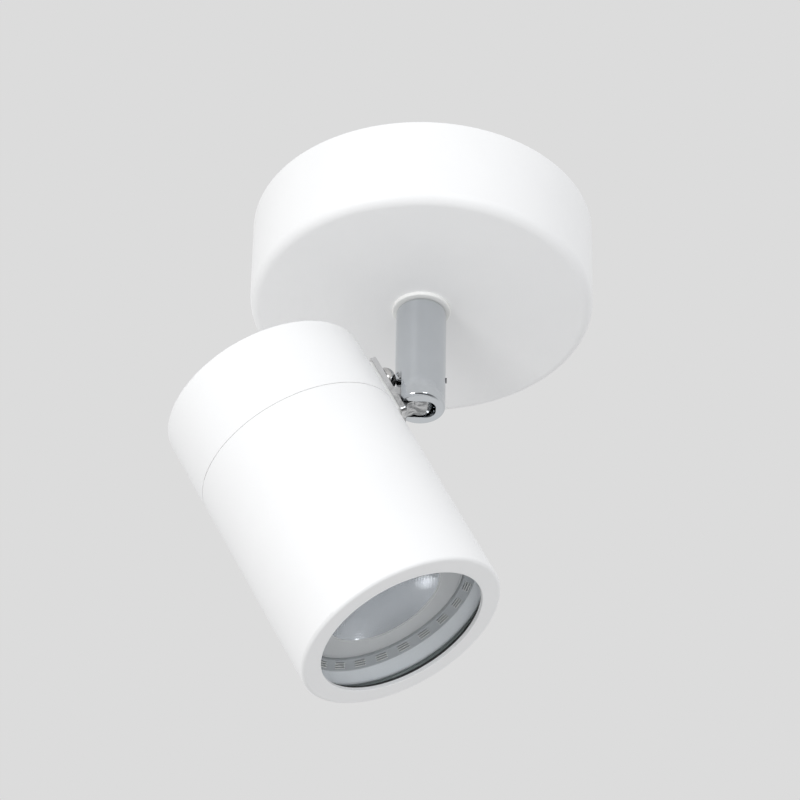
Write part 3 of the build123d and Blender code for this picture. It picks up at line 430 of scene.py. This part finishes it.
def floor_surface():
    """A pale floor. Metal and glass see it bright, with a dark place behind the camera."""
    made = plain_surface(
        "floor", (0.73, 0.73, 0.73), 0.8, variation=0.01, mottle=0.4, grain=0.003
    )
    place = made.add("ShaderNodeNewGeometry").outputs["Position"]
    level = made.add("ShaderNodeMapRange", interpolation_type="SMOOTHSTEP")
    made.link(made.vector("DISTANCE", place, SHADE_PLACE), level.inputs["Value"])
    level.inputs["From Min"].default_value, level.inputs["From Max"].default_value = SHADE_RADII
    level.inputs["To Min"].default_value = SHADE_COLOUR
    level.inputs["To Max"].default_value = FLOOR_GLOSS
    glow = made.add("ShaderNodeEmission")
    made.link(level.outputs["Result"], glow.inputs["Color"])
    path = made.add("ShaderNodeLightPath")
    mix = made.add("ShaderNodeMixShader")
    made.link(path.outputs["Is Glossy Ray"], mix.inputs[0])
    made.link(made.shader.outputs[0], mix.inputs[1])
    made.link(glow.outputs[0], mix.inputs[2])
    made.link(mix.outputs[0], made.tree.nodes["Material Output"].inputs["Surface"])
    return made.material


def make_floor():
    bpy.ops.mesh.primitive_circle_add(
        vertices=FLOOR_SIDES, radius=FLOOR_RADIUS, fill_type="NGON"
    )
    floor = bpy.context.object
    floor.name = "floor"
    floor.location = (0, 0, FLOOR_LEVEL)
    floor.data.materials.append(floor_surface())


# ---------------------------------------------------------------- pieces built as meshes
# All their sizes are in millimetres.
SHARP = math.radians(40)


def add_piece(name, points, faces, materials, body, slot):
    """Adds a mesh piece with the finish of a slot, and lets it ride on a body."""
    mesh = bpy.data.meshes.new(name)
    mesh.from_pydata(points, [], faces)
    work = bmesh.new()
    work.from_mesh(mesh)
    bmesh.ops.recalc_face_normals(work, faces=work.faces)
    work.to_mesh(mesh)
    work.free()
    mesh.polygons.foreach_set("use_smooth", [True] * len(mesh.polygons))
    mesh.set_sharp_from_angle(angle=SHARP)
    mesh.materials.append(materials[slot])
    piece = bpy.data.objects.new(name, mesh)
    bpy.context.scene.collection.objects.link(piece)
    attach(piece, body)
    return piece


def turns(count):
    """Angles of this many steps round a circle."""
    return [step * math.tau / count for step in range(count)]


def band(first, second, count):
    """Faces between two closed rings of points, from the index of each ring's first point."""
    faces = []
    for step in range(count):
        after = (step + 1) % count
        faces.append((first + step, first + after, second + after, second + step))
    return faces


def turned(profile, count):
    """A closed profile of (radius, along) pairs, turned about the head's axis."""
    size = len(profile)
    points = [in_head(radius, turn, along) for turn in turns(count) for radius, along in profile]
    faces = []
    for step in range(count):
        faces += band(step * size, (step + 1) % count * size, size)
    return points, faces


def smooth_step(value, low, high):
    part = min(1.0, max(0.0, (value - low) / (high - low)))
    return part * part * (3 - 2 * part)


# The lens is a beaded dish, smooth in its middle. Its points lie in hexagonal rings.
LENS_RADIUS = 17.35
LENS_SEAT = 16.35
LENS_BACK = 75.5
DISH_CENTRE = 73.7
DISH_ARC = 35.7
BACK_CENTRE = 72.1
BACK_ARC = 41.0
BACK_RINGS = 5
BEAD_PITCH = 0.8
BEAD_HEIGHT = 0.024
BEAD_ROWS = (0, math.pi / 3, 2 * math.pi / 3)
BEADS_FROM, BEADS_FULL, BEADS_END = 5.0, 10.0, 16.8
LENS_RINGS = 116
SECTORS = 6


def cap_level(radius, centre, arc):
    """Level of a spherical cap with this centre point and arc, at this radius."""
    return centre + arc - math.sqrt(arc * arc - radius * radius)


def bead(radius, angle):
    """Height of a hexagonal field of beads at this place."""
    share = smooth_step(radius, BEADS_FROM, BEADS_FULL)
    share *= 1 - smooth_step(radius, BEADS_END, LENS_RADIUS)
    wave = 4 * math.pi / (math.sqrt(3) * BEAD_PITCH)
    total = sum(math.cos(wave * radius * math.cos(angle - row)) for row in BEAD_ROWS)
    return share * BEAD_HEIGHT * total / len(BEAD_ROWS)


def lens_point(level, step):
    """Index of a point of the lens, from its ring and its place in that ring."""
    before = 1 + SECTORS * level * (level - 1) // 2
    return before + step % (SECTORS * level) if level else 0


def make_lens(materials):
    points = [in_head(0, 0, DISH_CENTRE)]
    faces = []
    for level in range(1, LENS_RINGS + 1):
        radius = LENS_RADIUS * level / LENS_RINGS
        dish = cap_level(radius, DISH_CENTRE, DISH_ARC)
        for turn in turns(SECTORS * level):
            points.append(in_head(radius, turn, dish + bead(radius, turn)))
        for sector in range(SECTORS):
            for step in range(level):
                outer = sector * level + step
                here = lens_point(level, outer)
                inner = sector * (level - 1) + step
                behind = lens_point(level - 1, inner)
                faces.append((here, lens_point(level, outer + 1), behind))
                if step:
                    faces.append((here, behind, lens_point(level - 1, inner - 1)))
    count = SECTORS * LENS_RINGS
    back = [(LENS_RADIUS, LENS_BACK), (LENS_SEAT, LENS_BACK)]
    for part in range(BACK_RINGS - 1, 0, -1):
        radius = LENS_SEAT * part / BACK_RINGS
        back.append((radius, cap_level(radius, BACK_CENTRE, BACK_ARC)))
    last = lens_point(LENS_RINGS, 0)
    for radius, along in back:
        first = len(points)
        points += [in_head(radius, turn, along) for turn in turns(count)]
        faces += band(last, first, count)
        last = first
    middle = len(points)
    points.append(in_head(0, 0, BACK_CENTRE))
    faces += [(last + step, last + (step + 1) % count, middle) for step in range(count)]
    lens = add_piece("beaded_lens", points, faces, materials, "lamp", "lamp_lens")
    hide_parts("lamp_lens")
    return lens


# Three bright bars across each window of the baffle, on its sloping flange.
WINDOW_COUNT = 24
BAR_REACH = 1.75
BAR_SPOTS = (25.92, 26.38, 26.84)
BAR_RADIUS = 0.14
BAR_RISE = 0.12
BAR_SIDES = 8
FLANGE_RADIUS, FLANGE_LEVEL = 25.3, 78.8
FLANGE_SLOPE = 2.0 / 2.15


def make_bars(materials):
    points, faces = [], []
    for window in turns(WINDOW_COUNT):
        spoke = ACROSS * math.cos(window) + SIDE * math.sin(window)
        tangent = FRONT.cross(spoke)
        for spot in BAR_SPOTS:
            level = FLANGE_LEVEL + (spot - FLANGE_RADIUS) * FLANGE_SLOPE + BAR_RISE
            middle = HEAD_REAR + spoke * spot + FRONT * level
            near = len(points)
            far = near + BAR_SIDES
            for end in (-BAR_REACH, BAR_REACH):
                for turn in turns(BAR_SIDES):
                    off = (spoke * math.cos(turn) + FRONT * math.sin(turn)) * BAR_RADIUS
                    points.append((middle + tangent * end + off) * MM)
            faces += band(near, far, BAR_SIDES)
            faces += [list(range(near, far)), list(range(far, far + BAR_SIDES))]
    add_piece("baffle_bars", points, faces, materials, "sleeve", "white_nylon")


# A bright trim ring on the bezel's outer edge.
TRIM_RADIUS = 24.72
TRIM_LEVEL = 78.02
TRIM_WIRE = 0.26
TRIM_SIDES = 10
TRIM_STEPS = 180


def make_trim(materials):
    profile = []
    for turn in turns(TRIM_SIDES):
        radius = TRIM_RADIUS + TRIM_WIRE * math.cos(turn)
        profile.append((radius, TRIM_LEVEL + TRIM_WIRE * math.sin(turn)))
    add_piece("bezel_trim", *turned(profile, TRIM_STEPS), materials, "lamp", "lamp_bezel")


# A pale slide ring that fills the seam between the cap and the sleeve, just below the surface.
SEAM_RING = ((28.25, 24.33), (30.28, 24.33), (30.28, 24.57), (28.25, 24.57))
SEAM_STEPS = 160


def make_seam_ring(materials):
    add_piece("seam_ring", *turned(SEAM_RING, SEAM_STEPS), materials, "head", "white_nylon")


# The hollow nipple with its thread.
NIPPLE_LOW, NIPPLE_HIGH = -38.1, -19.9
NIPPLE_BORE, NIPPLE_ROOT, NIPPLE_CREST = 3.9, 4.45, 5.0
THREAD_PITCH = 1.0
THREAD_FLANK = 2.4
THREAD_STEPS = 48
THREAD_LEVELS = 12


def thread_radius(height, part):
    """Radius of the thread at this height and this part of a turn. It runs out at both ends."""
    phase = (height / THREAD_PITCH - part) % 1.0
    tooth = min(1.0, THREAD_FLANK * abs(phase - 0.5))
    started = smooth_step(height, NIPPLE_LOW, NIPPLE_LOW + THREAD_PITCH)
    ended = smooth_step(height, NIPPLE_HIGH - THREAD_PITCH, NIPPLE_HIGH)
    return NIPPLE_ROOT + (NIPPLE_CREST - NIPPLE_ROOT) * tooth * min(started, 1 - ended)


def make_nipple(materials):
    around = turns(THREAD_STEPS)
    length = NIPPLE_HIGH - NIPPLE_LOW
    levels = round(length * THREAD_LEVELS / THREAD_PITCH)
    points, faces = [], []
    for level in range(levels + 1):
        height = NIPPLE_LOW + length * level / levels
        for turn in around:
            points.append(on_stem(thread_radius(height, turn / math.tau), turn, height))
    for level in range(levels):
        faces += band(level * THREAD_STEPS, (level + 1) * THREAD_STEPS, THREAD_STEPS)
    bore_low = len(points)
    bore_high = bore_low + THREAD_STEPS
    for height in (NIPPLE_LOW, NIPPLE_HIGH):
        points += [on_stem(NIPPLE_BORE, turn, height) for turn in around]
    faces += band(0, bore_low, THREAD_STEPS)
    faces += band(levels * THREAD_STEPS, bore_high, THREAD_STEPS)
    faces += band(bore_low, bore_high, THREAD_STEPS)
    nipple = add_piece("nipple_thread", points, faces, materials, "stem", "zinc_steel")
    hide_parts("threaded_nipple")


# ---------------------------------------------------------------- the scene
bpy.context.scene.view_settings.view_transform = "Standard"
photo_camera()
make_world()
make_floor()
soft_light("key", azimuth=235, elevation=-15, size=0.45, power=4.8)
soft_light("fill", azimuth=288, elevation=-5, size=0.35, power=2.2, colour=(0.90, 0.94, 1.0))
surfaces = make_materials()
dress(surfaces)
lens = make_lens(surfaces)
make_bars(surfaces)
make_trim(surfaces)
make_seam_ring(surfaces)
make_nipple(surfaces)

# Two small lamps for the bright places in the dish, and one that reaches into the baffle.
soft_light("glint_one", azimuth=82, elevation=-43, size=0.07, power=0.2, only=[lens])
soft_light("glint_two", azimuth=12, elevation=-30, size=0.06, power=0.07, only=[lens])
soft_light("reach", azimuth=285, elevation=-52, size=0.3, power=3.0, only=[nodes["front_baffle"]])
